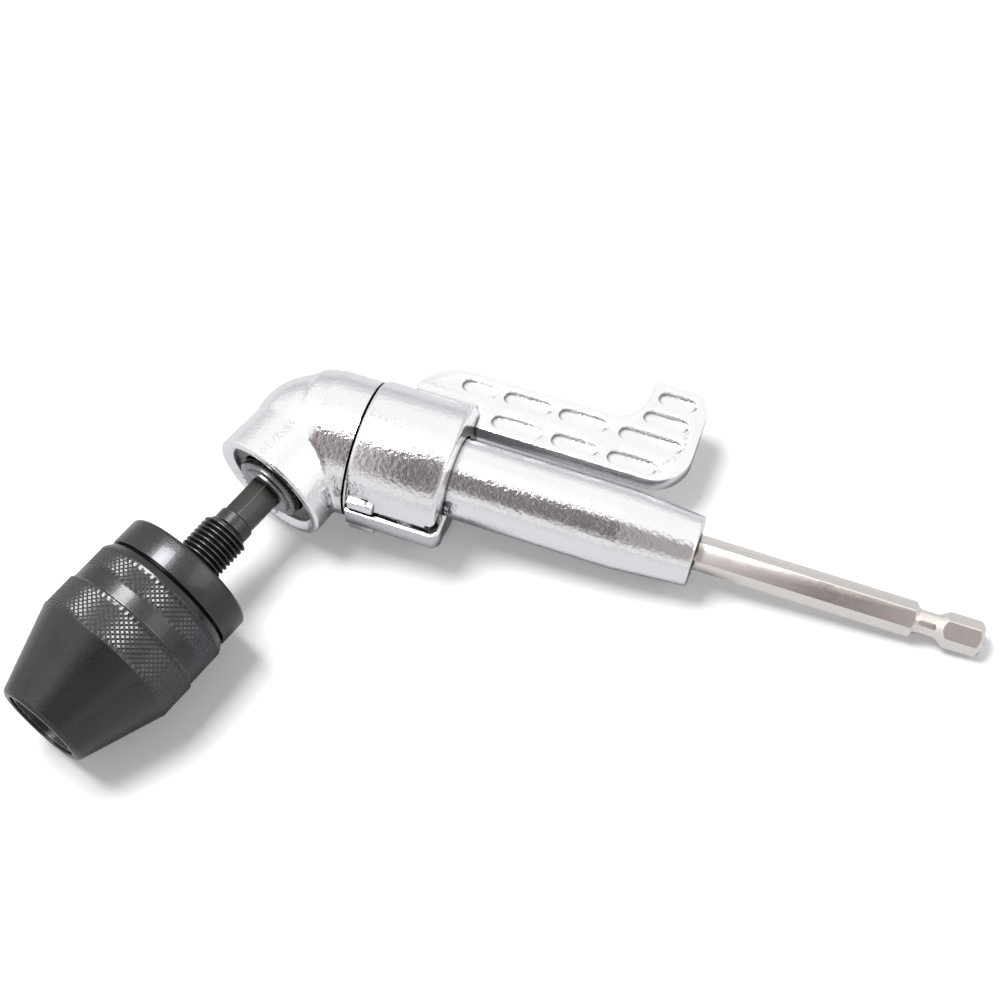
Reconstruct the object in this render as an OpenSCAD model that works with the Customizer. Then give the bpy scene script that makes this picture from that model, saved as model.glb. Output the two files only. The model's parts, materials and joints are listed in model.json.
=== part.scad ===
/* [Drive shank] */
// Hexagon width across flats
hex_af = 6.35; // [6:0.05:6.6]
// Shank length outside the barrel
shank_out = 58; // [45:0.5:75]
// Turn of the shank's flats at rest
shank_roll = 5.4; // [0:0.2:60]
// Plain hexagon between the free end and the ball groove
shank_end_len = 7.1; // [5:0.1:9]
// Slope on the end side of the ball groove
groove_slope_out = 2.7; // [1.5:0.1:3.5]
// Straight bottom of the ball groove
groove_floor = 2.3; // [1:0.1:3]
// Slope on the barrel side of the ball groove
groove_slope_in = 1.9; // [1:0.1:3]
// Radius of the ball groove's bottom
groove_r = 2.44; // [2.2:0.02:2.7]
// Chamfer of the free end
shank_chamfer = 1; // [0.5:0.1:1.5]

/* [Barrel] */
// Length of the barrel outside the grip
barrel_out = 50.4; // [43:0.1:64]
// Length of the narrowing part
barrel_taper = 15; // [8:0.5:25]
// How much smaller the radius at the end face is
barrel_end_drop = 1.1; // [0.4:0.05:1.4]
// Radius along the straight part
barrel_r = 8.35; // [8.1:0.05:8.5]
// Thickness of the side wall
barrel_side_t = 2; // [1.8:0.05:2.5]
// Thickness of the end wall
barrel_wall = 2; // [1.5:0.1:3]
// Edge of the end face
barrel_edge = 0.5; // [0.2:0.1:0.8]

/* [Thumb grip] */
// Length of the collar
collar_len = 19.4; // [18.6:0.1:22]
// Thickness of the collar around the head's spigot
collar_wall = 4.25; // [4.05:0.05:4.75]
// Bevel on the collar's end toward the shank
collar_bevel = 1.1; // [0.5:0.1:1.5]
// Thickness of the fin
fin_t = 4.3; // [3.8:0.1:5.2]
// Distance of the fin's inner edge from the barrel's axis
fin_inner = 11; // [10.8:0.1:11.5]
// Distance of the fin's outer edge from the barrel's axis
fin_outer = 23; // [21.5:0.1:25]
// Distance of the raised end's top from the barrel's axis
fin_top = 33.3; // [32:0.1:36]
// Length of the fin beyond the collar
fin_reach = 43.9; // [41:0.1:51]
// Length of the raised end
fin_tip_len = 12.3; // [11.5:0.1:14]
// Depth of the long recesses
recess_depth = 1.2; // [0.6:0.1:1.5]
// Width of the long recesses
recess_w = 3.2; // [2.4:0.1:3.5]

/* [Lock lever] */
// Width of the lever
lever_w = 5.28; // [4.5:0.02:5.6]
// Width of the channel in the collar
channel_w = 6.8; // [6.6:0.1:7.6]
// Thickness of the lever
lever_t = 0.9; // [0.8:0.05:1.2]
// Height of the lever above the collar
lever_proud = 0.8; // [0.4:0.1:1.2]
// Length of the lever beyond the collar
lever_reach = 1.4; // [1.2:0.1:2.2]

/* [Head] */
// Angle between the barrel and the chuck
bend = 110; // [95:1:125]
// Length of the neck from the seam to the elbow's centre
neck_len = 9.9; // [9.5:0.1:12]
// Radius of the neck along its straight part
neck_back_r = 14.1; // [13.7:0.1:14.4]
// Radius of the neck at the elbow
neck_front_r = 13.3; // [12.8:0.1:13.5]
// Radius of the elbow
elbow_r = 13.15; // [12.95:0.05:13.3]
// Radius of the mouth at the elbow
mouth_r = 12.4; // [12.2:0.05:12.5]
// How much wider the mouth is near its rim
mouth_flare = 0.5; // [0.3:0.05:0.7]
// Length of the mouth's rim beyond the snap ring
mouth_lip = 1.6; // [1.2:0.1:3.8]
// Thickness of the head's spigot around the barrel
spigot_wall = 2.05; // [1.9:0.05:2.3]
// Seam between the grip and the head
seam = 0.3; // [0.2:0.05:0.5]

/* [Chuck] */
// Hexagon of the arbor outside the mouth
arbor_hex_out = 9.1; // [7:0.1:14]
// Length of the arbor's round step
arbor_step_len = 2.9; // [2:0.1:4]
// Radius of the arbor's round step
arbor_step_r = 3.9; // [3.85:0.05:4.2]
// Arbor thread outside the chuck
thread_out = 11.2; // [8:0.1:14]
// Outer radius of the arbor thread
thread_r = 5; // [4.6:0.05:5.2]
// Distance from ridge to ridge of the arbor thread
thread_step_len = 1.06; // [0.9:0.02:1.5]
// Turn of the arbor's hexagon at rest
arbor_roll = -8.6; // [-30:0.2:30]
// Radius of the rear ring
rear_ring_r = 14.55; // [14.4:0.05:15]
// Length of the rear ring
rear_ring_len = 6.3; // [5.7:0.1:7.5]
// Gap between the rear ring and the sleeve
sleeve_gap = 0.6; // [0.4:0.05:0.9]
// Length of the slope at the sleeve's rear edge
sleeve_slope_len = 1.6; // [1:0.1:2]
// Length of the rear band
band_one_len = 5.2; // [4.5:0.1:6]
// Smooth part between the bands
band_gap_len = 3.2; // [2.5:0.1:4.5]
// Length of the front band
band_two_len = 7.4; // [6.5:0.1:8.5]
// Length of the nose cone
cone_len = 17.5; // [16:0.1:20]
// Radius at the sleeve's rear edge
sleeve_rear_r = 14.4; // [14.3:0.05:14.8]
// Radius of the sleeve's rear band
band_one_r = 15.4; // [15.2:0.05:15.7]
// Radius of the sleeve's front band
band_two_r = 15.85; // [15.5:0.05:16.2]
// Radius of the nose
nose_r = 9.75; // [9.5:0.05:10.3]
// Radius of the nose recess
recess_r = 6.85; // [6.3:0.05:7]
// Largest tool radius that the jaws take
grip_open_r = 3.25; // [2.9:0.05:3.3]
// Radius of each jaw
jaw_radius = 2.3; // [2.1:0.05:2.3]

/* [Hidden] */
$fn = 64;

// One overrun for every cut
over = 0.5;
// Clearance of turning and sliding fits, on the radius
run_fit = 0.05;
// Play between faces that turn against each other
face_play = 0.15;

// Stations along the barrel's axis, from the shank's free end
groove_a = shank_end_len;
groove_b = groove_a + groove_slope_out;
groove_c = groove_b + groove_floor;
groove_d = groove_c + groove_slope_in;
barrel_start = shank_out;
collar_start = barrel_start + barrel_out;
collar_end = collar_start + collar_len;
neck_start = collar_end + seam;
apex_x = neck_start + neck_len;
barrel_insert = 4.1;
barrel_end = neck_start - barrel_insert;
barrel_end_r = barrel_r - barrel_end_drop;
barrel_bore_r = barrel_r - barrel_side_t;
out_turn = 180 - bend;

// Shaft and bushes
hex_corner_r = hex_af / 2 / cos(30);
journal_r = 3.15;
end_wall_clear = 0.43;
end_bore_r = hex_corner_r + end_wall_clear;
bush_start = barrel_start + barrel_wall;
rear_bush_len = 8;
front_bush_len = 9;
washer_t = 1;
washer_start = barrel_end - washer_t;
front_bush_start = washer_start - front_bush_len;
shank_end = bush_start - seam;
clip_start = bush_start + rear_bush_len + face_play;
clip_t = 0.9;
clip_r = 4.6;
clip_groove_r = 2.6;
shank_face_r = hex_af * 0.43;

// Bevel gears, measured from the elbow's centre along each gear's axis
teeth = 12;
cone_angle = bend / 2;
gear_r = 7.8;
tooth_module = 2 * gear_r / teeth;
addendum = tooth_module * 0.8;
dedendum = tooth_module * 1.05;
inner_share = 0.63;
pitch_z = gear_r / tan(cone_angle);
tip_r = gear_r + addendum * cos(cone_angle);
tip_z = pitch_z - addendum * sin(cone_angle);
root_r = gear_r - dedendum * cos(cone_angle);
root_z = pitch_z + dedendum * sin(cone_angle);
root_angle = atan(root_r / root_z);
root_dist = sqrt(root_r * root_r + root_z * root_z);
flank = 20;
gap_half = 0.3 * 2 * 3.14159 * gear_r / teeth - dedendum * tan(flank);
gap_swing = asin(gap_half / root_dist);
gap_depth = 3 * tooth_module;
gap_inner = gap_half * (1 + 2 * inner_share) / 2;
gear_hub_r = 5;
driven_hub_len = 1.42;
drive_hub_end = apex_x - barrel_end - face_play;

// Head cavities
spigot_r = barrel_r + spigot_wall;
collar_lip_t = 2.8;
spigot_start = collar_start + collar_lip_t + seam;
gear_room_r = 9.3;
cavity_r = 10.1;
elbow_blend_len = 6.5;
elbow_blend_x = apex_x + elbow_blend_len;
elbow_blend_r = 9.9;
neck_straight = 8.2;
neck_past = 2.2;
neck_end = apex_x + neck_past;
elbow_turn_share = 0.47;
elbow_turn = elbow_turn_share * out_turn;
elbow_inward = 0.9;
elbow_back = 5.4;
elbow_mid = elbow_inward / tan(out_turn - elbow_turn);
mouth_back = 0.8;
mouth_edge_len = 1;
mouth_edge_drop = 0.4;

// Output bearing and spindle, stations from the elbow's centre along the output axis
flange_z = root_z + driven_hub_len;
flange_t = 1.2;
bearing_z = flange_z + flange_t;
bearing_len = 4;
bearing_r = 10.2;
bearing_mid = bearing_z + bearing_len / 2;
ball_r = 1.15;
ball_path_r = 7.5;
balls = 12;
inner_race_r = 6.8;
outer_race_r = 8.2;
seal_t = 0.4;
snap_t = 1;
snap_r = 10.9;
snap_inner_r = 7.5;
snap_gap = 2;
mouth_chamfer = 0.9;
mouth_len = bearing_z + bearing_len + snap_t + mouth_lip;
mouth_rim_r = mouth_r + mouth_flare;
spindle_r = 5.2;
spindle_flange_r = 6;
spindle_collar_r = 7.2;
spindle_collar_out = 0.4;
spindle_collar_end = mouth_len + spindle_collar_out;
spindle_nose_r = 5.8;
spindle_nose_len = 0.6;
spindle_end = spindle_collar_end + spindle_nose_len;
spindle_edge = 0.2;
stub_r = 3.4;
stub_setback = 0.26;
stub_start = root_z * inner_share + stub_setback;
socket_setback = 0.2;
socket_z = flange_z + socket_setback;
socket_af = hex_af + 2 * run_fit;
magnet_r = 2.4;
magnet_len = 2.2;
socket_play = 0.2;

// Chuck stations along the output axis
hex_end = mouth_len + arbor_hex_out;
step_end = hex_end + arbor_step_len;
chuck_start = step_end + thread_out;
rear_end = chuck_start + rear_ring_len;
sleeve_start = rear_end + sleeve_gap;
band_one_z = sleeve_start + sleeve_slope_len;
band_one_end = band_one_z + band_one_len;
band_two_z = band_one_end + band_gap_len;
band_two_end = band_two_z + band_two_len;
nose_z = band_two_end + cone_len;
nose_edge = 0.6;
rear_hub_r = 11;
rear_round = 0.8;
thread_depth = 0.5;
thread_end = rear_end + 0.5 * thread_step_len;
flange_r = 13.3;
sleeve_bore_r = 13.6;
nut_setback = 5.45;
nut_start = sleeve_start + nut_setback;
nut_len = 7;
nut_end = nut_start + nut_len;
flange_end = nut_start - face_play;
front_shoulder = nut_end + 1.6 * face_play;
core_front_r = 10.4;
core_nose_r = 7.9;
core_bore_r = 3.4;
core_setback = 0.5;
core_end = nose_z - core_setback;
nose_bore_r = 8.1;
recess_len = 8.8;
nose_recess_z = nose_z - recess_len;
nut_clear = 0.1;
body_clear = 0.3;

// Jaws
jaws = 3;
jaw_angle = 15;
jaw_len = 19;
jaw_closed_r = 0.4;
jaw_travel = (grip_open_r - jaw_closed_r) / sin(jaw_angle);
jaw_axis_off = 1.6;
jaw_tip_setback = 12.3;
jaw_tip_open_z = nose_z - jaw_tip_setback;
jaw_tip_open_r = grip_open_r + jaw_axis_off;
jaw_tip_z = jaw_tip_open_z + jaw_travel * cos(jaw_angle);
jaw_tip_r = jaw_tip_open_r - jaw_travel * sin(jaw_angle);
jaw_side_play = 0.17;
jaw_turn = 20;

// Thumb grip and lever
grip_bore_r = spigot_r + run_fit;
collar_r = grip_bore_r + collar_wall;
lip_bore_r = barrel_r + 1.3 * seam;
wire_r = 0.5;
wire_x = collar_start + 0.5 * collar_len;
fin_end_x = collar_start - fin_reach;
fin_corner_r = 8;
fin_tip_corner_r = 4;
fin_tip_edge_r = 1;
fin_crook_r = 6.6;
fin_round_r = fin_outer - fin_inner - 0.5 * over;
fin_round_in = 4.4;
fin_round_x = collar_start + fin_round_in;
fin_len = fin_round_x - fin_end_x;
fin_height = fin_top - fin_inner;
root_fillet = 2.5;
recess_shares = [[0.126, 0.124, 0.342], [0.126, 0.381, 0.588], [0.126, 0.623, 0.851],
  [0.395, 0.054, 0.330], [0.395, 0.377, 0.594], [0.395, 0.623, 0.837], [0.395, 0.864, 1.025],
  [0.623, 0.054, 0.254], [0.852, 0.049, 0.219]];
lever_out = collar_r + lever_proud;
lever_under = lever_out - lever_t;
channel_depth = 2.7;
channel_floor = collar_r - channel_depth;
channel_wall = 0.8;
channel_end = collar_end - channel_wall;
lever_start = collar_start - lever_reach;
lever_end = channel_end - seam;
lever_bend_r = 2;
notch_len = 1.8;
notch_side = 0.8;
notch_w = channel_w + 2 * notch_side;
notch_gap = 1.2;
notch_low = barrel_r + notch_gap;
tab_gap = 1.65;
tab_low = barrel_r + tab_gap;
pin_back = 4;
pin_x = channel_end - pin_back;
pin_r = 0.8;
pin_rise = 1.7;
pin_y = channel_floor + pin_rise;
boss_r = 1.5;
lug_back = 2;
lug_ahead = 3.4;
lug_rise = 0.35;
lug_t = 2.3;
pin_half = channel_w / 2 + lug_t;
pad_back = 2.1;
pad_x = channel_end - pad_back;
pad_len = 1.5;
pad_w = 3;
window_play = 0.4;
pad_low = spigot_r + 1.2 * face_play;
leaf_t = 0.3;
leaf_w = 3.6;
leaf_back = 2.4;
leaf_start = collar_start + leaf_back;
leaf_len = 6;

// Turn a shape built upward so that it points along the barrel toward the head
module along_input() {
  rotate([0, 90, 0]) children();
}

// Turn a shape built upward so that it points along the chuck's axis
module along_output() {
  translate([apex_x, 0, 0]) rotate([0, 0, out_turn]) rotate([0, 90, 0]) children();
}

// Ring between two stations
module ring(r_out, r_in, z_a, z_b) {
  rotate_extrude() polygon([[r_in, z_a], [r_out, z_a], [r_out, z_b], [r_in, z_b]]);
}

// Solid round between two stations
module rod(r_rod, z_a, z_b) {
  translate([0, 0, z_a]) cylinder(h = z_b - z_a, r = r_rod);
}

// Hexagon bar between two stations
module hex_bar(af, z_a, z_b) {
  translate([0, 0, z_a]) cylinder(h = z_b - z_a, r = af / 2 / cos(30), $fn = 6);
}

// Ring with a round section
module round_ring(r_path, r_wire, z_mid) {
  translate([0, 0, z_mid]) rotate_extrude() translate([r_path, 0]) circle(r = r_wire);
}

// Block between two corners in the fin's plane, centred on that plane
module slab(x_a, x_b, y_a, y_b, thick) {
  translate([x_a, y_a, -thick / 2]) cube([x_b - x_a, y_b - y_a, thick]);
}

// Disc in the fin's plane
module disc(x_mid, y_mid, r_disc, thick) {
  translate([x_mid, y_mid, -thick / 2]) cylinder(h = thick, r = r_disc);
}

// Round middle of the elbow, turned about halfway between the barrel and the chuck
module elbow_outside() {
  elbow_far = elbow_mid + 2 * elbow_r;
  translate([apex_x, 0, 0]) rotate([0, 0, elbow_turn]) translate([0, elbow_inward, 0])
    rotate([0, 90, 0]) rotate_extrude() {
      polygon([[0, -elbow_back], [elbow_r, -elbow_back], [elbow_r, elbow_mid], [0, elbow_mid]]);
      intersection() {
        translate([0, elbow_mid]) circle(r = elbow_r);
        polygon([[0, elbow_mid], [elbow_far, elbow_mid], [elbow_far, elbow_far], [0, elbow_far]]);
      }
    }
}

// Tapered outside of the mouth
module mouth_outside() {
  along_output() rotate_extrude() polygon([
    [0, -mouth_back], [mouth_r, -mouth_back], [mouth_rim_r, mouth_len - mouth_edge_len],
    [mouth_rim_r - mouth_edge_drop, mouth_len], [0, mouth_len]]);
}

// Outside of the spigot, neck, elbow and mouth
module head_outside() {
  reach = 2 * mouth_rim_r + mouth_len;
  along_input() rotate_extrude() polygon([
    [0, spigot_start], [spigot_r, spigot_start], [spigot_r, neck_start],
    [neck_back_r, neck_start], [neck_back_r, neck_start + neck_straight],
    [neck_front_r, neck_end], [elbow_blend_r, elbow_blend_x], [0, elbow_blend_x]]);
  intersection() {
    union() {
      elbow_outside();
      mouth_outside();
    }
    slab(neck_start, neck_start + reach, -reach, reach, 2 * reach);
  }
}

module head_housing() {
  color("silver") difference() {
    head_outside();
    along_input() rod(barrel_r, spigot_start - over, barrel_end);
    along_input() rod(barrel_bore_r, barrel_end - over, barrel_end + over);
    along_input() rod(gear_room_r - over, barrel_end, apex_x);
    translate([apex_x, 0, 0]) sphere(r = cavity_r);
    along_output() rod(gear_room_r, 0, bearing_z + over);
    along_output() rod(bearing_r, bearing_z, mouth_len + over);
    along_output() rod(snap_r, bearing_z + bearing_len, bearing_z + bearing_len + snap_t);
    along_output() translate([0, 0, mouth_len - mouth_chamfer])
      cylinder(h = mouth_chamfer, r1 = bearing_r, r2 = bearing_r + mouth_chamfer);
    along_input() round_ring(spigot_r, wire_r, wire_x);
  }
}

module barrel_tube() {
  color("gainsboro") along_input() rotate_extrude() polygon([
    [end_bore_r, barrel_start], [barrel_end_r - barrel_edge, barrel_start],
    [barrel_end_r, barrel_start + barrel_edge], [barrel_r, barrel_start + barrel_taper],
    [barrel_r, barrel_end], [barrel_bore_r, barrel_end],
    [barrel_bore_r, bush_start], [end_bore_r, bush_start]]);
}

module rear_bush() {
  color("peru") along_input()
    ring(barrel_bore_r, journal_r + run_fit, bush_start, bush_start + rear_bush_len);
}

module front_bush() {
  color("peru") along_input()
    ring(barrel_bore_r, journal_r + run_fit, front_bush_start, washer_start);
}

module thrust_washer() {
  color("darkkhaki") along_input()
    ring(barrel_bore_r, journal_r + 2 * run_fit, washer_start, barrel_end);
}

module input_shaft() {
  color("rosybrown") along_input() rotate([0, 0, shank_roll]) difference() {
    union() {
      intersection() {
        hex_bar(hex_af, 0, shank_end);
        rotate_extrude() polygon([
          [0, 0], [shank_face_r, 0], [hex_corner_r, shank_chamfer],
          [hex_corner_r, groove_a], [groove_r, groove_b], [groove_r, groove_c],
          [hex_corner_r, groove_d], [hex_corner_r, shank_end], [0, shank_end]]);
      }
      rod(journal_r, shank_end - over, apex_x - root_z * inner_share - face_play);
    }
    ring(journal_r + over, clip_groove_r, clip_start, clip_start + clip_t);
  }
}

module shaft_clip() {
  color("dimgray") along_input() difference() {
    ring(clip_r, clip_groove_r, clip_start, clip_start + clip_t);
    translate([0, -0.6 * clip_groove_r, clip_start - over])
      cube([clip_r + over, 1.2 * clip_groove_r, clip_t + 2 * over]);
  }
}

// One half of a tooth gap, its flank running to the elbow's centre
module gap_side(side) {
  rotate([-side * gap_swing, 0, 0]) linear_extrude(height = 2 * root_dist) polygon([
    [0, 0], [gap_depth, side * gap_depth * tan(flank)],
    [gap_depth, -side * gap_inner], [0, -side * gap_inner]]);
}

// Bevel gear with its elbow's centre at the origin and its axis upward
module bevel_gear(bore_r, hub_end, phase) {
  rotate([0, 0, phase]) difference() {
    rotate_extrude() polygon([
      [bore_r, root_z * inner_share], [root_r * inner_share, root_z * inner_share],
      [tip_r * inner_share, tip_z * inner_share], [tip_r, tip_z], [root_r, root_z],
      [gear_hub_r, root_z], [gear_hub_r, hub_end], [bore_r, hub_end]]);
    for (i = [0 : teeth - 1]) rotate([0, 0, (i + 0.5) * 360 / teeth])
      rotate([0, root_angle, 0]) {
        gap_side(1);
        gap_side(-1);
      }
  }
}

module drive_bevel_gear() {
  color("slategray") translate([apex_x, 0, 0]) rotate([0, -90, 0])
    bevel_gear(journal_r, drive_hub_end, 180 / teeth);
}

module driven_bevel_gear() {
  color("slategray") along_output() bevel_gear(stub_r, flange_z, 0);
}

module output_spindle() {
  color("lightgray") along_output() difference() {
    rotate_extrude() polygon([
      [0, stub_start], [stub_r, stub_start], [stub_r, flange_z],
      [spindle_flange_r, flange_z], [spindle_flange_r, bearing_z], [spindle_r, bearing_z],
      [spindle_r, bearing_z + bearing_len], [spindle_collar_r, bearing_z + bearing_len],
      [spindle_collar_r, spindle_collar_end - spindle_edge],
      [spindle_collar_r - spindle_edge, spindle_collar_end],
      [spindle_nose_r, spindle_collar_end], [spindle_nose_r, spindle_end - spindle_edge],
      [spindle_nose_r - spindle_edge, spindle_end], [0, spindle_end]]);
    rotate([0, 0, arbor_roll]) hex_bar(socket_af, socket_z, spindle_end + over);
    rod(magnet_r, socket_z - magnet_len, socket_z + over);
  }
}

module socket_magnet() {
  color("dimgray") along_output() rod(magnet_r, socket_z - magnet_len, socket_z);
}

module output_bearing_outer() {
  color("silver") along_output() difference() {
    ring(bearing_r, outer_race_r, bearing_z, bearing_z + bearing_len);
    round_ring(ball_path_r, ball_r + run_fit, bearing_mid);
  }
}

module output_bearing_inner() {
  color("silver") along_output() difference() {
    ring(inner_race_r, spindle_r, bearing_z, bearing_z + bearing_len);
    round_ring(ball_path_r, ball_r + run_fit, bearing_mid);
  }
}

module output_bearing_balls() {
  color("lightsteelblue") along_output() {
    ring(ball_path_r + 5 * run_fit, ball_path_r - 5 * run_fit,
      bearing_mid - ball_r / 2, bearing_mid + ball_r / 2);
    for (i = [0 : balls - 1]) rotate([0, 0, i * 360 / balls])
      translate([ball_path_r, 0, bearing_mid]) sphere(r = ball_r);
  }
}

module output_bearing_seal() {
  color("black") along_output()
    ring(outer_race_r, inner_race_r + 2 * run_fit,
      bearing_z + bearing_len - 2 * seal_t, bearing_z + bearing_len - seal_t);
}

module mouth_snap_ring() {
  color("black") along_output() difference() {
    ring(snap_r, snap_inner_r, bearing_z + bearing_len, bearing_z + bearing_len + snap_t);
    translate([-snap_r - over, -snap_gap / 2, bearing_z])
      cube([snap_r, snap_gap, 2 * bearing_len]);
  }
}

module grip_snap_ring() {
  color("dimgray") along_input() difference() {
    round_ring(spigot_r, wire_r, wire_x);
    translate([-spigot_r - 2 * wire_r, -wire_r, wire_x - 2 * wire_r])
      cube([spigot_r, 2 * wire_r, 4 * wire_r]);
  }
}

module chuck_arbor() {
  color("dimgray") along_output() {
    intersection() {
      rotate([0, 0, arbor_roll]) hex_bar(hex_af, socket_z + socket_play, step_end);
      rotate_extrude() polygon([
        [0, socket_z + socket_play], [shank_face_r, socket_z + socket_play],
        [hex_corner_r, socket_z + socket_play + shank_chamfer],
        [hex_corner_r, step_end], [0, step_end]]);
    }
    rod(arbor_step_r, hex_end, thread_end);
    rotate_extrude() polygon(concat(
      [[0, step_end]],
      [for (i = [0 : floor((thread_end - step_end) / thread_step_len) - 1], part = [0 : 1])
        [thread_r - part * thread_depth, step_end + (i + 0.5 * part) * thread_step_len]],
      [[thread_r, step_end
        + floor((thread_end - step_end) / thread_step_len) * thread_step_len],
        [thread_r, thread_end], [0, thread_end]]));
  }
}

// Radius of the cone that the jaws' outsides lie on
function jaw_cone(z) =
  jaw_tip_open_r + (jaw_tip_open_z - z) * tan(jaw_angle) + jaw_radius / cos(jaw_angle);

// Round bore or rod along a jaw's axis, measured back from the open jaw's tip
module jaw_rod(r_rod, z_ahead, z_back) {
  translate([jaw_tip_open_r, 0, jaw_tip_open_z]) rotate([0, -jaw_angle, 0])
    rod(r_rod, -z_back, z_ahead);
}

module chuck_body() {
  color("darkslategray") along_output() difference() {
    rotate_extrude() polygon([
      [thread_r, chuck_start + seam], [rear_hub_r, chuck_start + seam],
      [rear_hub_r, rear_end], [flange_r, rear_end], [flange_r, flange_end],
      [jaw_cone(flange_end) - body_clear, flange_end],
      [jaw_cone(front_shoulder) - body_clear, front_shoulder],
      [core_front_r, front_shoulder], [core_front_r, band_two_end],
      [core_nose_r, nose_recess_z], [core_nose_r, core_end], [recess_r, core_end],
      [recess_r, nose_recess_z], [core_bore_r, nose_recess_z],
      [core_bore_r, thread_end], [thread_r, thread_end]]);
    for (i = [0 : jaws - 1]) rotate([0, 0, jaw_turn + i * 360 / jaws])
      jaw_rod(jaw_radius + run_fit, jaw_travel, jaw_len + 2 * seam);
  }
}

module chuck_rear_ring() {
  color("dimgray") along_output() difference() {
    union() {
      rod(rear_ring_r, chuck_start + rear_round, rear_end);
      rod(rear_ring_r - rear_round, chuck_start, rear_end);
      round_ring(rear_ring_r - rear_round, rear_round, chuck_start + rear_round);
    }
    rod(rear_hub_r, chuck_start - over, rear_end + over);
  }
}

module chuck_sleeve() {
  color("dimgray") along_output() rotate_extrude() polygon([
    [sleeve_bore_r, sleeve_start], [sleeve_rear_r, sleeve_start],
    [band_one_r, band_one_z], [band_one_r, band_two_z],
    [band_two_r, band_two_z + seam], [band_two_r, band_two_end],
    [nose_r + nose_edge * 0.35, nose_z - nose_edge], [nose_r - nose_edge, nose_z],
    [nose_bore_r, nose_z], [nose_bore_r, nose_z - 2 * nose_edge],
    [sleeve_bore_r, band_two_end + 3 * nose_edge]]);
}

module chuck_nut() {
  color("gray") along_output() rotate_extrude() polygon([
    [jaw_cone(nut_start) + nut_clear, nut_start], [sleeve_bore_r, nut_start],
    [sleeve_bore_r, nut_end], [jaw_cone(nut_end) + nut_clear, nut_end]]);
}

// Jaw drawn closed, cut to its third of the circle, then moved back to open
module chuck_jaw(turn) {
  color("gray") along_output() rotate([0, 0, turn])
    translate([jaw_travel * sin(jaw_angle), 0, -jaw_travel * cos(jaw_angle)])
      intersection() {
        translate([jaw_tip_r, 0, jaw_tip_z]) rotate([0, -jaw_angle, 0])
          rod(jaw_radius, -jaw_len, 0);
        linear_extrude(height = 2 * nose_z) polygon([
          [jaw_closed_r, -(jaw_closed_r - jaw_side_play) * tan(60)],
          [recess_r * 2, -(recess_r * 2 - jaw_side_play) * tan(60)],
          [recess_r * 2, (recess_r * 2 - jaw_side_play) * tan(60)],
          [jaw_closed_r, (jaw_closed_r - jaw_side_play) * tan(60)]]);
      }
}

module chuck_jaw_1() {
  chuck_jaw(jaw_turn);
}

module chuck_jaw_2() {
  chuck_jaw(jaw_turn + 360 / jaws);
}

module chuck_jaw_3() {
  chuck_jaw(jaw_turn + 2 * 360 / jaws);
}

// Outline of the fin as one plate
module fin_plate() {
  tip_end_x = fin_end_x + fin_tip_len;
  slab(fin_end_x + fin_corner_r, fin_round_x, fin_inner, fin_outer, fin_t);
  disc(fin_end_x + fin_corner_r, fin_inner + fin_corner_r, fin_corner_r, fin_t);
  slab(fin_end_x, tip_end_x, fin_inner + fin_corner_r, fin_top - fin_tip_corner_r, fin_t);
  disc(fin_end_x + fin_tip_corner_r, fin_top - fin_tip_corner_r, fin_tip_corner_r, fin_t);
  slab(fin_end_x + fin_tip_corner_r, tip_end_x - fin_tip_edge_r,
    fin_top - fin_tip_corner_r, fin_top, fin_t);
  slab(tip_end_x - fin_tip_edge_r, tip_end_x, fin_top - fin_tip_corner_r,
    fin_top - fin_tip_edge_r, fin_t);
  disc(tip_end_x - fin_tip_edge_r, fin_top - fin_tip_edge_r, fin_tip_edge_r, fin_t);
  difference() {
    slab(tip_end_x, tip_end_x + fin_crook_r, fin_outer, fin_outer + fin_crook_r, fin_t);
    disc(tip_end_x + fin_crook_r, fin_outer + fin_crook_r, fin_crook_r, fin_t + over);
  }
  intersection() {
    disc(fin_round_x, fin_outer - fin_round_r, fin_round_r, fin_t);
    slab(fin_round_x, fin_round_x + fin_round_r, fin_inner, fin_outer, fin_t);
  }
}

// Concave blends between the fin's faces and the collar
module fin_blends() {
  blend_z = fin_t / 2 + root_fillet;
  blend_y = sqrt((collar_r + root_fillet) * (collar_r + root_fillet) - blend_z * blend_z);
  blend_x = collar_start + collar_bevel;
  blend_len = fin_round_r * 0.8;
  for (side = [-1, 1]) difference() {
    translate([blend_x, fin_inner, side > 0 ? 0 : -blend_z])
      cube([blend_len, blend_y - fin_inner, blend_z]);
    translate([blend_x - over, blend_y, side * blend_z]) rotate([0, 90, 0])
      cylinder(h = blend_len + 2 * over, r = root_fillet);
  }
}

// One long recess with round ends, cut into one face
module recess(y_mid, x_a, x_b) {
  slab(x_a + recess_w / 2, x_b - recess_w / 2, y_mid - recess_w / 2,
    y_mid + recess_w / 2, 2 * recess_depth);
  disc(x_a + recess_w / 2, y_mid, recess_w / 2, 2 * recess_depth);
  disc(x_b - recess_w / 2, y_mid, recess_w / 2, 2 * recess_depth);
}

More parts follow.
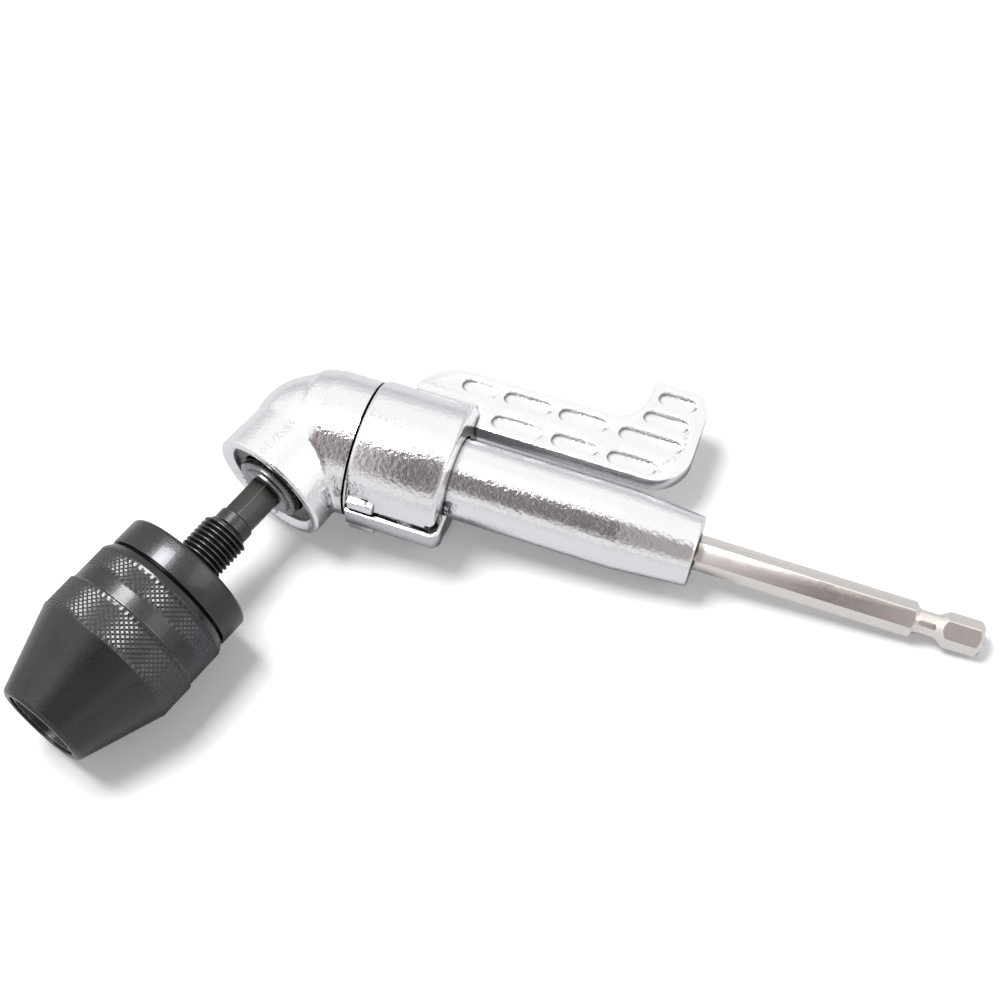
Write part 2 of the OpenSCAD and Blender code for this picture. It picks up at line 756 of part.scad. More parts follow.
module thumb_grip() {
  color("whitesmoke") difference() {
    union() {
      along_input() rotate_extrude() polygon([
        [0, collar_start], [collar_r - collar_bevel, collar_start],
        [collar_r, collar_start + collar_bevel], [collar_r, collar_end - seam],
        [collar_r - seam, collar_end], [0, collar_end]]);
      rotate([180, 0, 0]) fin_plate();
      rotate([180, 0, 0]) fin_blends();
      slab(pin_x - lug_back, pin_x + lug_ahead, channel_floor, collar_r + lug_rise,
        2 * pin_half);
    }
    along_input() rod(lip_bore_r, collar_start - over, collar_end + over);
    along_input() rod(grip_bore_r, collar_start + collar_lip_t, collar_end + over);
    along_input() round_ring(spigot_r, wire_r + 2 * run_fit, wire_x);
    for (side = [-1, 1], share = recess_shares)
      translate([0, 0, side * fin_t / 2]) rotate([180, 0, 0])
        recess(fin_inner + share[0] * fin_height, fin_end_x + share[1] * fin_len,
          fin_end_x + share[2] * fin_len);
    slab(collar_start - over, channel_end, channel_floor, lever_out + over, channel_w);
    slab(collar_start - over, collar_start + notch_len, notch_low, lever_out + over, notch_w);
    slab(pad_x - window_play, pad_x + pad_len + window_play, 0, channel_floor + over,
      pad_w + 2 * window_play);
    disc(pin_x, pin_y, pin_r, 2 * pin_half);
  }
}

module lever_pin() {
  color("darkgray") disc(pin_x, pin_y, pin_r, 2 * pin_half);
}

module release_lever() {
  color("gainsboro") difference() {
    union() {
      slab(lever_start + lever_bend_r, lever_end, lever_under, lever_out, lever_w);
      disc(lever_start + lever_bend_r, lever_out - lever_bend_r, lever_bend_r, lever_w);
      slab(lever_start, lever_start + lever_t, tab_low, lever_out - lever_bend_r, lever_w);
      disc(pin_x, pin_y, boss_r, lever_w);
      slab(pin_x - boss_r, pin_x + boss_r, pin_y, lever_under, lever_w);
      slab(pad_x, pad_x + pad_len, pad_low, lever_under, pad_w);
    }
    disc(pin_x, pin_y, pin_r + run_fit, lever_w + over);
    disc(lever_start + lever_bend_r, lever_out - lever_bend_r, lever_bend_r - lever_t,
      lever_w + over);
    slab(lever_start + lever_t, pin_x - boss_r, tab_low, lever_out - lever_bend_r,
      lever_w + over);
    slab(lever_start + lever_bend_r, pin_x - boss_r, tab_low, lever_under, lever_w + over);
  }
}

module lever_leaf_spring() {
  color("steelblue") translate([0, 0, -leaf_w / 2]) linear_extrude(height = leaf_w) polygon([
    [leaf_start, channel_floor], [leaf_start + leaf_len, channel_floor],
    [leaf_start + leaf_len, channel_floor + 2 * leaf_t],
    [leaf_start + leaf_t, lever_under], [leaf_start, lever_under],
    [leaf_start, lever_under - leaf_t],
    [leaf_start + leaf_len - 3 * leaf_t, channel_floor + leaf_t],
    [leaf_start, channel_floor + leaf_t]]);
}

head_housing();
barrel_tube();
rear_bush();
front_bush();
thrust_washer();
output_bearing_outer();
output_bearing_balls();
output_bearing_seal();
mouth_snap_ring();
grip_snap_ring();
input_shaft();
shaft_clip();
drive_bevel_gear();
output_spindle();
driven_bevel_gear();
output_bearing_inner();
socket_magnet();
chuck_arbor();
chuck_body();
chuck_rear_ring();
chuck_sleeve();
chuck_nut();
chuck_jaw_1();
chuck_jaw_2();
chuck_jaw_3();
thumb_grip();
lever_pin();
lever_leaf_spring();
release_lever();
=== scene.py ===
"""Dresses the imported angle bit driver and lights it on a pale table.

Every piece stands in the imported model's own frame: metres, the origin at the shank's free end,
+X along the barrel toward the elbow, +Y toward the chuck. Turned pieces are shaped upright about
Z from the origin of their line, and then laid on that line. The pieces' own lengths are in
millimetres, and their angles in degrees.
"""

import json
import logging
import math
from collections.abc import Callable, Sequence
from dataclasses import dataclass, field, replace
from enum import Enum

import bpy
from mathutils import Matrix, Vector

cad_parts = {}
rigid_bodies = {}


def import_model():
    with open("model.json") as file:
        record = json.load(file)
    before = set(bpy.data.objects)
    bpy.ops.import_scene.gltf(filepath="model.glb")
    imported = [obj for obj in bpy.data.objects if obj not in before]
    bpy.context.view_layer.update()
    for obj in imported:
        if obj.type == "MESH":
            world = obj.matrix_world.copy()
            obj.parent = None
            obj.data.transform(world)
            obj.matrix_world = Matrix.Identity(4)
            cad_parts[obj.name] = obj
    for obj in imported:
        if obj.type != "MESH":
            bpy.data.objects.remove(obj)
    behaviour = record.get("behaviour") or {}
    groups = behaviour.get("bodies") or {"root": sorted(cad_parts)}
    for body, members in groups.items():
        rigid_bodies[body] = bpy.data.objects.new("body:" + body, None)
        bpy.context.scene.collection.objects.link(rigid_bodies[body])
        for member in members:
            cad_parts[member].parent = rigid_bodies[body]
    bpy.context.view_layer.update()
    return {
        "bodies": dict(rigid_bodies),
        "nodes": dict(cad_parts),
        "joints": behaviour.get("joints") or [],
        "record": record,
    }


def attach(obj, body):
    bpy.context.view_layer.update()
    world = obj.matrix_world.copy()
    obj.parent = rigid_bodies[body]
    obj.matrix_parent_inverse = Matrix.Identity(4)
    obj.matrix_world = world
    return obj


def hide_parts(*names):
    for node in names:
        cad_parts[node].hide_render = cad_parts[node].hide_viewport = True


LOG = logging.getLogger("angle_bit_driver")
MM = 0.001
WELD = 0.000002
APEX = 138.0
OUT_TURN = 70.0
HEX_CORNER = 6.35 / 2 / math.cos(math.radians(30))
LEVER_PIN = (123.0, 13.7)

Piece = bpy.types.Object
Socket = bpy.types.NodeSocket
Pair = tuple[float, float]
Triple = tuple[float, float, float]
Value = float | Triple | Socket
Profile = list[Pair]
Rows = list[Triple]


def arc(mid_r: float, mid_z: float, radius: float, start: float, end: float,
        steps: int = 6) -> Profile:
    """List points of a round stretch of a profile or an outline.

    Args:
        mid_r: Distance of the arc's centre from the line.
        mid_z: Station of the arc's centre.
        radius: The arc's radius.
        start: First angle, 0 pointing away from the line and 90 forward.
        end: Last angle.
        steps: How many straight pieces stand for the arc.

    Returns:
        Pairs of radius and station, both ends included.
    """
    angles = [math.radians(start + (end - start) * i / steps) for i in range(steps + 1)]
    return [(mid_r + radius * math.cos(a), mid_z + radius * math.sin(a)) for a in angles]


class Cut(Enum):
    """How one solid acts on another."""

    REMOVE = "DIFFERENCE"
    JOIN = "UNION"
    KEEP_COMMON = "INTERSECT"


class Line(Enum):
    """The two lines that the turned pieces stand on."""

    BARREL = "barrel"
    OUTPUT = "output"

    def placing(self) -> Matrix:
        """Work out how an upright piece is laid on this line.

        Returns:
            The matrix from the upright frame to the model's.
        """
        lay = Matrix.Rotation(math.radians(90), 4, "Y")
        if self is Line.BARREL:
            return lay
        turn = Matrix.Rotation(math.radians(OUT_TURN), 4, "Z")
        return Matrix.Translation((APEX * MM, 0, 0)) @ turn @ lay

    def lay(self, piece: Piece) -> Piece:
        """Lay an upright piece on this line.

        Args:
            piece: The upright piece.

        Returns:
            The same piece.
        """
        piece.matrix_world = self.placing() @ piece.matrix_world
        Bench.fix(piece)
        return piece

    def turned(self, name: str, profile: Profile, sides: int = 128, ring: bool = True) -> Piece:
        """Turn a piece as the bench does and lay it on this line."""
        return self.lay(Bench.turned(name, profile, sides, ring))


class Bench:
    """The workbench: shaping steps that the pieces share, each through Blender's own tools."""

    @staticmethod
    def clear() -> None:
        """Leave nothing selected."""
        if bpy.context.object is not None and bpy.context.object.mode != "OBJECT":
            Bench.close()
        bpy.ops.object.select_all(action="DESELECT")

    @staticmethod
    def take(piece: Piece) -> None:
        """Select one piece alone and make it the active one.

        Args:
            piece: The piece.
        """
        Bench.clear()
        piece.select_set(True)
        bpy.context.view_layer.objects.active = piece

    @staticmethod
    def open(piece: Piece) -> None:
        """Start to edit a piece, with all its points selected.

        Args:
            piece: The piece.
        """
        Bench.take(piece)
        bpy.ops.object.mode_set(mode="EDIT")
        bpy.ops.mesh.select_mode(type="VERT")
        bpy.ops.mesh.select_all(action="SELECT")

    @staticmethod
    def close() -> None:
        """Stop editing."""
        bpy.ops.object.mode_set(mode="OBJECT")

    @staticmethod
    def unselect(mesh: bpy.types.Mesh) -> None:
        """Clear the selection flags of a mesh that isn't being edited."""
        for items in (mesh.vertices, mesh.edges, mesh.polygons):
            items.foreach_set("select", [False] * len(items))

    @staticmethod
    def name(piece: Piece, name: str) -> Piece:
        """Give a piece and its mesh the same name.

        Args:
            piece: The piece.
            name: The name for both.

        Returns:
            The same piece.
        """
        piece.name = name
        piece.data.name = name
        return piece

    @staticmethod
    def fix(piece: Piece) -> None:
        """Move a piece's place, turn and size into its mesh."""
        Bench.take(piece)
        bpy.ops.object.transform_apply(location=True, rotation=True, scale=True)

    @staticmethod
    def clean(piece: Piece) -> None:
        """Merge doubled points and turn all faces outward.

        Args:
            piece: The piece.
        """
        Bench.open(piece)
        bpy.ops.mesh.remove_doubles(threshold=WELD)
        bpy.ops.mesh.normals_make_consistent(inside=False)
        Bench.close()

    @staticmethod
    def pull(distance: float) -> None:
        """Draw the selected part of a mesh upward."""
        bpy.ops.mesh.extrude_region_move(TRANSFORM_OT_translate={"value": (0, 0, distance * MM)})

    @staticmethod
    def widen(share: float, station: float) -> None:
        """Scale the selected points about the upright line at a station."""
        bpy.ops.transform.resize(value=(share, share, 1), center_override=(0, 0, station * MM))

    @staticmethod
    def circle(name: str, sides: int, radius: float, station: float) -> Piece:
        """Add the first circle of a turned piece and start to edit it.

        Args:
            name: The piece's name.
            sides: How many points the circle has.
            radius: Its radius.
            station: Its height.

        Returns:
            The circle.
        """
        Bench.clear()
        bpy.ops.mesh.primitive_circle_add(
            vertices=sides, radius=radius * MM, fill_type="NOTHING", location=(0, 0, station * MM))
        piece = Bench.name(bpy.context.object, name)
        Bench.fix(piece)
        Bench.open(piece)
        return piece

    @staticmethod
    def turned(name: str, profile: Profile, sides: int = 128, ring: bool = True,
               roll: float = 0.0) -> Piece:
        """Shape a turned piece by drawing a circle out along a profile.

        Args:
            name: The piece's name.
            profile: Radius and station of each circle.
            sides: How many sides each circle has.
            ring: True where the profile closes on itself, False where its ends are capped.
            roll: Turn of the first corner about the line.

        Returns:
            The closed piece, upright.
        """
        last = profile[0]
        piece = Bench.circle(name, sides, *last)
        for radius, station in profile[1:] + ([last] if ring else []):
            Bench.pull(station - last[1])
            Bench.widen(radius / last[0], station)
            last = (radius, station)
        if not ring:
            bpy.ops.mesh.select_all(action="SELECT")
            bpy.ops.mesh.fill_holes(sides=0)
        Bench.close()
        piece.rotation_euler = (0, 0, math.radians(roll))
        Bench.fix(piece)
        Bench.clean(piece)
        return piece

    @staticmethod
    def hexagon(name: str, low: float, high: float, roll: float, form: Profile,
                sides: int) -> Piece:
        """Shape an upright quarter inch hexagon bar with eased edges, limited by a turned form.

        Args:
            name: The bar's name.
            low: Station where it starts.
            high: Station where it ends.
            roll: Turn of the hexagon.
            form: The form's profile.
            sides: How many sides the form has.

        Returns:
            The closed bar.
        """
        bar = Bench.turned(name, [(HEX_CORNER, low), (HEX_CORNER, high)], 6, False, roll)
        Bench.ease(bar, 0.16, 2, 40)
        Bench.act(bar, Bench.turned("form", form, sides, False), Cut.KEEP_COMMON)
        Bench.clean(bar)
        return bar

    @staticmethod
    def loop(name: str, points: Sequence[Sequence[float]]) -> Piece:
        """Draw a closed line by pulling one point along from corner to corner.

        Args:
            name: The line's name.
            points: Its corners in order.

        Returns:
            The line, still being edited.
        """
        Bench.clear()
        bpy.ops.mesh.primitive_plane_add(size=MM, location=[k * MM for k in points[0]])
        piece = Bench.name(bpy.context.object, name)
        Bench.fix(piece)
        Bench.open(piece)
        bpy.ops.mesh.merge(type="CENTER")
        for start, end in zip(points, [*points[1:], points[0]]):
            step = [(b - a) * MM for a, b in zip(start, end)]
            bpy.ops.mesh.extrude_vertices_move(TRANSFORM_OT_translate={"value": step})
        bpy.ops.mesh.select_all(action="SELECT")
        bpy.ops.mesh.remove_doubles(threshold=WELD)
        return piece

    @staticmethod
    def outlined(name: str, outline: Sequence[Pair], low: float,
                 high: float) -> Piece:
        """Shape a flat piece by drawing its outline point by point and raising it.

        Args:
            name: The piece's name.
            outline: Its corners in order.
            low: Height of the under face.
            high: Height of the upper face.

        Returns:
            The closed piece, in the model's frame.
        """
        piece = Bench.loop(name, [(x, y, low) for x, y in outline])
        bpy.ops.mesh.edge_face_add()
        Bench.pull(high - low)
        Bench.close()
        Bench.clean(piece)
        return piece

    @staticmethod
    def block(name: str, low: Sequence[float], high: Sequence[float]) -> Piece:
        """Add a block.

        Args:
            name: The block's name.
            low: Its lowest corner.
            high: Its highest corner.

        Returns:
            The block.
        """
        Bench.clear()
        mid = [(a + b) / 2 * MM for a, b in zip(low, high)]
        bpy.ops.mesh.primitive_cube_add(size=1, location=mid)
        piece = Bench.name(bpy.context.object, name)
        piece.scale = [(b - a) * MM for a, b in zip(low, high)]
        Bench.fix(piece)
        return piece

    @staticmethod
    def drum(name: str, radius: float, reach: float, place: Pair) -> Piece:
        """Add an upright round bar.

        Args:
            name: The bar's name.
            radius: Its radius.
            reach: How far it reaches up and down from the middle plane.
            place: Where its axis crosses that plane.

        Returns:
            The bar.
        """
        Bench.clear()
        bpy.ops.mesh.primitive_cylinder_add(
            vertices=32, radius=radius * MM, depth=2 * reach * MM,
            location=(place[0] * MM, place[1] * MM, 0))
        piece = Bench.name(bpy.context.object, name)
        Bench.fix(piece)
        return piece

    @staticmethod
    def apply(piece: Piece, kind: str, **settings: object) -> None:
        """Put a modifier on a piece, set it up and make it part of the mesh.

        Args:
            piece: The piece.
            kind: The modifier's type.
            **settings: Its settings.
        """
        Bench.take(piece)
        step = piece.modifiers.new(kind, kind)
        for name, value in settings.items():
            setattr(step, name, value)
        bpy.ops.object.modifier_apply(modifier=step.name)

    @staticmethod
    def act(piece: Piece, other: Piece, cut: Cut) -> None:
        """Let the other solid cut, join or limit a piece, and then remove the other."""
        Bench.apply(piece, "BOOLEAN", operation=cut.value, object=other, solver="EXACT")
        bpy.data.objects.remove(other)

    @staticmethod
    def ease(piece: Piece, width: float, steps: int = 2, angle: float = 35.0) -> None:
        """Round a piece's edges.

        Args:
            piece: The piece.
            width: Reach of the rounding.
            steps: How many faces it has.
            angle: Sharper edges than this are rounded.
        """
        Bench.apply(piece, "BEVEL", width=width * MM, segments=steps, limit_method="ANGLE",
                    angle_limit=math.radians(angle), use_clamp_overlap=True,
                    miter_outer="MITER_ARC")

    @staticmethod
    def cast(piece: Piece, grain: float, smooth: int) -> None:
        """Melt a joined shape's seams with new faces of a size and some smoothing passes."""
        Bench.apply(piece, "REMESH", mode="VOXEL", voxel_size=grain * MM)
        Bench.apply(piece, "SMOOTH", factor=0.5, iterations=smooth)


@dataclass(frozen=True)
class Graph:
    """Short ways to add and join the nodes of one tree.

    Attributes:
        tree: The node tree.
    """

    tree: bpy.types.NodeTree

    @staticmethod
    def emptied(owner: bpy.types.Material | bpy.types.World) -> "Graph":
        """Turn on the nodes of a material or world and clear them away.

        Args:
            owner: The material or world.

        Returns:
            Its empty tree.
        """
        owner.use_nodes = True
        owner.node_tree.nodes.clear()
        return Graph(owner.node_tree)

    def feed(self, node: bpy.types.Node, inputs: dict[str | int, Value]) -> None:
        """Set a node's inputs.

        Args:
            node: The node.
            inputs: A number, a colour or another node's socket for each input.
        """
        for key, value in inputs.items():
            if isinstance(value, bpy.types.NodeSocket):
                self.tree.links.new(value, node.inputs[key])
            else:
                node.inputs[key].default_value = value

    def add(self, kind: str, inputs: dict[str | int, Value] | None = None,
            **settings: object) -> bpy.types.Node:
        """Add a node.

        Args:
            kind: The node's type.
            inputs: What its inputs take.
            **settings: The node's own settings.

        Returns:
            The node.
        """
        node = self.tree.nodes.new(f"ShaderNode{kind}")
        for name, value in settings.items():
            setattr(node, name, value)
        self.feed(node, inputs or {})
        return node

    def math(self, rule: str, *values: Value, clamp: bool = False) -> Socket:
        """Combine values by a rule of the Math node and return the result's socket."""
        inputs = dict(enumerate(values))
        return self.add("Math", inputs, operation=rule, use_clamp=clamp).outputs[0]

    def noise(self, place: Socket, scale: Value, detail: float) -> Socket:
        """Add noise over some coordinates and return its socket."""
        inputs = {"Vector": place, "Scale": scale, "Detail": detail}
        return self.add("TexNoise", inputs).outputs["Fac"]

    def ramp(self, value: Socket, low: float, high: float, smooth: bool = True) -> Socket:
        """Rise from 0 at one value to 1 at another, softly or straight."""
        return self.add("MapRange", {"Value": value, "From Min": low, "From Max": high},
                        interpolation_type="SMOOTHSTEP" if smooth else "LINEAR").outputs["Result"]

    def mix(self, mask: Socket, first: Triple | Socket, second: Triple | Socket) -> Socket:
        """Mix two colours by a mask.

        Args:
            mask: The mask, 0 for the first colour and 1 for the second.
            first: The first colour.
            second: The second colour.

        Returns:
            The socket of the mixed colour.
        """
        inputs = {6: first, 7: second}
        full = {k: (*c, 1) if isinstance(c, tuple) else c for k, c in inputs.items()}
        return self.add("Mix", {0: mask, **full}, data_type="RGBA").outputs[2]

    def effect(self, group: bpy.types.NodeTree, inputs: dict[str | int, Value]) -> Socket:
        """Use a shared effect with its inputs set and return its mask's socket."""
        return self.add("Group", inputs, node_tree=group).outputs["Mask"]


class Effects:
    """Surface effects that the finishes share, each built once as a group that gives a mask."""

    @staticmethod
    def _group(name: str, inputs: dict[str, float],
               fill: Callable[[Graph, dict[str, Socket]], Socket]) -> bpy.types.NodeTree:
        """Build or fetch a node group with the output Mask.

        Args:
            name: The group's name.
            inputs: Input names with their defaults.
            fill: Adds the nodes between these inputs and the mask.

        Returns:
            The node group.
        """
        found = bpy.data.node_groups.get(name)
        if found is not None:
            return found
        tree = bpy.data.node_groups.new(name, "ShaderNodeTree")
        new, kind = tree.interface.new_socket, "NodeSocketFloat"
        for label, value in inputs.items():
            new(label, in_out="INPUT", socket_type=kind).default_value = value
        new("Mask", in_out="OUTPUT", socket_type=kind)
        given = tree.nodes.new("NodeGroupInput").outputs
        mask = fill(Graph(tree), {label: given[label] for label in inputs})
        tree.links.new(mask, tree.nodes.new("NodeGroupOutput").inputs["Mask"])
        return tree

    @staticmethod
    def edge_wear() -> bpy.types.NodeTree:
        """Build or fetch the mask of rubbed edges, with the inputs Reach and Amount.

        Returns:
            The node group.
        """
        def fill(graph: Graph, given: dict[str, Socket]) -> Socket:
            """Find edges where the rounded normal leaves the true one, and break them up.

            Args:
                graph: The group's tree.
                given: The group's inputs by name.

            Returns:
                The mask's socket.
            """
            round_edge = graph.add("Bevel", {"Radius": given["Reach"]}, samples=4)
            true = graph.add("NewGeometry")
            normals = {0: round_edge.outputs["Normal"], 1: true.outputs["Normal"]}
            same = graph.add("VectorMath", normals, operation="DOT_PRODUCT").outputs["Value"]
            place = graph.add("TexCoord").outputs["Object"]
            edge = graph.math("MULTIPLY", graph.ramp(same, 0.995, 0.9, False),
                              graph.noise(place, 900.0, 4))
            return graph.math("MULTIPLY", edge, given["Amount"], clamp=True)

        return Effects._group("edge_wear", {"Reach": 0.0003, "Amount": 1.0}, fill)

    @staticmethod
    def cloud() -> bpy.types.NodeTree:
        """Build or fetch a broad cloudy mask, with the inputs Broad, Fine and Contrast.

        Returns:
            The node group.
        """
        def fill(graph: Graph, given: dict[str, Socket]) -> Socket:
            """Add fine speckles to broad clouds and spread them about the middle.

            Args:
                graph: The group's tree.
                given: The group's inputs by name.

            Returns:
                The mask's socket.
            """
            place = graph.add("TexCoord").outputs["Object"]
            broad = graph.noise(place, given["Broad"], 2.0)
            fine = graph.math("MULTIPLY", graph.noise(place, given["Fine"], 5.0), 0.55)
            both = graph.math("MULTIPLY_ADD", broad, 0.45, fine)
            centred = graph.math("SUBTRACT", both, 0.5)
            return graph.math("MULTIPLY_ADD", centred, given["Contrast"], 0.5, clamp=True)

        return Effects._group("cloud", {"Broad": 60.0, "Fine": 900.0, "Contrast": 1.0}, fill)

    @staticmethod
    def hollow_shade() -> bpy.types.NodeTree:
        """Build or fetch the painted shade mask of inner corners, with the inputs Reach and Amount.

        Returns:
            The node group.
        """
        def fill(graph: Graph, given: dict[str, Socket]) -> Socket:
            """Find the places that have much of the surface close around them, to paint shade
            there.

            Args:
                graph: The group's tree.
                given: The group's inputs by name.

            Returns:
                The mask's socket.
            """
            around = graph.add("AmbientOcclusion", {"Distance": given["Reach"]}, samples=8)
            deep = graph.ramp(around.outputs["AO"], 0.72, 0.3, False)
            return graph.math("MULTIPLY", deep, given["Amount"], clamp=True)

        return Effects._group("hollow_shade", {"Reach": 0.0012, "Amount": 1.0}, fill)


@dataclass(frozen=True)
class Finish:
    """One surface finish.

    Attributes:
        name: The finish's name, and the record's slot where none is given.
        colour: Main colour, linear.
        second: Triple that clouds over the main one.
        worn: Triple where edges are rubbed.
        rough: Lowest and highest roughness.
        metal: How metallic it is.
        clouds: Broad and fine cloud counts per metre, and their contrast.
        wear: Reach of the rubbed edges in metres, and their amount.
        bump: Count per metre and depth in metres of the surface's unevenness.
        stretch: Scale of the bump pattern along each axis of the object.
        coat: Weight of a thin clear film.
        painted_shade: Reach in metres of the shade painted into corners and recesses, and its
            amount.
        slot: The record's slot, where it isn't the finish's name; not used.
    """

    name: str
    colour: Triple
    second: Triple
    worn: Triple
    rough: Pair
    metal: float = 1.0
    clouds: Triple = (60.0, 900.0, 2.0)
    wear: Pair = (0.0003, 1.0)
    bump: Pair = (900.0, 0.00001)
    stretch: Triple = (1.0, 1.0, 1.0)
    coat: float = 0.0
    painted_shade: Pair = (0.0012, 0.8)
    slot: str = ""

    def material(self) -> bpy.types.Material:
        """Build or fetch the finish as a material.

        Returns:
            The material.
        """
        found = bpy.data.materials.get(self.name)
        if found is not None and found.get("dressed"):
            return found
        material = bpy.data.materials.new(self.name)
        material["dressed"] = True
        material.use_nodes = True
        graph = Graph(material.node_tree)
        cloud = graph.effect(Effects.cloud(), dict(zip(("Broad", "Fine", "Contrast"), self.clouds)))
        edge = graph.effect(Effects.edge_wear(), dict(zip(("Reach", "Amount"), self.wear)))
        # Painted shade: the colour darkens toward a near black in corners, recesses and bores.
        shade_mask = graph.effect(Effects.hollow_shade(), dict(zip(("Reach", "Amount"), self.painted_shade)))
        shade_tone = tuple(0.09 * k for k in self.second)
        tone = graph.mix(shade_mask, graph.mix(cloud, self.colour, self.second), shade_tone)
        rough = graph.add(
            "MapRange", {"Value": cloud, "To Min": self.rough[0], "To Max": self.rough[1]})
        graph.feed(graph.tree.nodes["Principled BSDF"], {
            "Metallic": self.metal, "Coat Weight": self.coat,
            "Base Color": graph.mix(edge, tone, self.worn),
            "Roughness": rough.outputs["Result"], "Normal": self._uneven(graph)})
        return material

    def _uneven(self, graph: Graph) -> Socket:
        """Add the surface's fine unevenness.

        Args:
            graph: The material's tree.

        Returns:
            The socket of the uneven normal.
        """
        place = graph.add("TexCoord").outputs["Object"]
        spread = graph.add("Mapping", {"Vector": place, "Scale": self.stretch}).outputs["Vector"]
        height = graph.noise(spread, self.bump[0], 3)
        bump = {"Height": height, "Distance": self.bump[1], "Strength": 1.0}
        return graph.add("Bump", bump).outputs["Normal"]


# The grime pairs set how far and how dark shade is painted into corners and recesses.
CHROME = Finish(
    "cast_chrome", (0.98, 0.98, 0.985), (0.90, 0.89, 0.90), (0.98, 0.98, 0.98), (0.09, 0.16),
    clouds=(90.0, 1500.0, 1.6), wear=(0.0002, 0.4), bump=(1250.0, 0.00009), painted_shade=(0.0022, 1.5))
GRIP_CHROME = replace(
    CHROME, name="grip_chrome", second=(0.90, 0.89, 0.91), rough=(0.09, 0.17), painted_shade=(0.0016, 2.6))
NICKEL = Finish(
    "nickel_plate", (0.97, 0.93, 0.89), (0.86, 0.79, 0.73), (0.98, 0.96, 0.93), (0.16, 0.28),
    clouds=(120.0, 1300.0, 2.0), wear=(0.0003, 0.8), bump=(900.0, 0.000016),
    stretch=(0.12, 1.0, 1.0))
BLACK = Finish(
    "black_oxide", (0.045, 0.047, 0.056), (0.062, 0.060, 0.050), (0.22, 0.22, 0.23), (0.24, 0.36),
    metal=0.85, clouds=(75.0, 2200.0, 3.4), wear=(0.0004, 0.9), bump=(2500.0, 0.00002), coat=0.2,
    painted_shade=(0.0028, 1.2))
BRIGHT = Finish(
    "bright_steel", (0.30, 0.30, 0.31), (0.22, 0.22, 0.23), (0.5, 0.5, 0.5), (0.2, 0.34),
    painted_shade=(0.002, 1.4))
STRIP = Finish(
    "bright_strip", (0.72, 0.72, 0.73), (0.6, 0.6, 0.61), (0.9, 0.9, 0.9), (0.16, 0.28),
    painted_shade=(0.0016, 1.4), slot="bright_steel")
BEARING = Finish(
    "bearing_steel", (0.15, 0.15, 0.155), (0.11, 0.11, 0.115), (0.32, 0.32, 0.32), (0.24, 0.36),
    painted_shade=(0.002, 1.4))
SPRING = Finish(
    "spring_steel", (0.3, 0.31, 0.33), (0.22, 0.23, 0.25), (0.5, 0.5, 0.5), (0.28, 0.4))
GEAR = Finish("gear_steel", (0.32, 0.32, 0.33), (0.24, 0.23, 0.22), (0.6, 0.6, 0.6), (0.3, 0.45))
JAW = Finish("jaw_steel", (0.16, 0.16, 0.165), (0.1, 0.1, 0.1), (0.4, 0.4, 0.4), (0.3, 0.42))
MAGNET = Finish("magnet", (0.5, 0.5, 0.52), (0.4, 0.4, 0.42), (0.7, 0.7, 0.7), (0.22, 0.3))
BRONZE = Finish(
    "sintered_bronze", (0.36, 0.2, 0.09), (0.25, 0.14, 0.07), (0.6, 0.4, 0.2), (0.38, 0.55))
SEAL = Finish(
    "seal_rubber", (0.018, 0.018, 0.018), (0.03, 0.03, 0.03), (0.06, 0.06, 0.06), (0.5, 0.7),
    metal=0.0)
FINISHES = {f.name: f for f in (CHROME, GRIP_CHROME, NICKEL, BLACK, BRIGHT, BEARING, SPRING, GEAR,
                                JAW, MAGNET, BRONZE, SEAL)}


@dataclass
class Part:
    """A piece, or several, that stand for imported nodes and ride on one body.

    Attributes:
        body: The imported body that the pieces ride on.
    """

    body: str = "head"

    def dress(self, piece: Piece, finish: Finish, *nodes: str, angle: float = 30.0) -> None:
        """Finish a piece: shading, material, body and the nodes that it stands for.

        Args:
            piece: The shaped piece.
            finish: Its surface finish.
            *nodes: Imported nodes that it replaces.
            angle: Sharper edges than this stay sharp.
        """
        Bench.take(piece)
        bpy.ops.object.shade_smooth_by_angle(angle=math.radians(angle))
        piece.data.materials.clear()
        piece.data.materials.append(finish.material())
        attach(piece, self.body)
        if nodes:
            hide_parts(*nodes)
        LOG.info("%s: %d faces", piece.name, len(piece.data.polygons))


@dataclass
class Barrel(Part):
    """The chrome barrel that narrows at its end.

    Attributes:
        start: Station of the end face.
        taper: Length of the narrowing part.
        end: Station of the hidden end.
        end_r: Radius at the end face.
        radius: Radius of the straight part.
        bore: Radius of the inside.
        end_bore: Radius of the hole for the shank.
        edge: Radius of the rounded edge.
    """

    start: float = 58.0
    taper: float = 15.0
    end: float = 124.0
    end_r: float = 7.25
    radius: float = 8.35
    bore: float = 6.35
    end_bore: float = 4.096
    edge: float = 0.55

    def build(self) -> None:
        """Turn the barrel with its rounded end edge."""
        profile = (
            [(self.end_bore, self.start + 0.25), (self.end_bore + 0.25, self.start)]
            + arc(self.end_r - self.edge, self.start + self.edge, self.edge, -90, -4, 6)
            + arc(self.radius - 12, self.start + self.taper + 1, 12, -4.2, 0, 4)
            + [(self.radius, self.end), (self.bore, self.end), (self.bore, self.start + 2),
               (self.end_bore, self.start + 2)])
        self.dress(Line.BARREL.turned("barrel", profile, 160), CHROME, "barrel_tube")


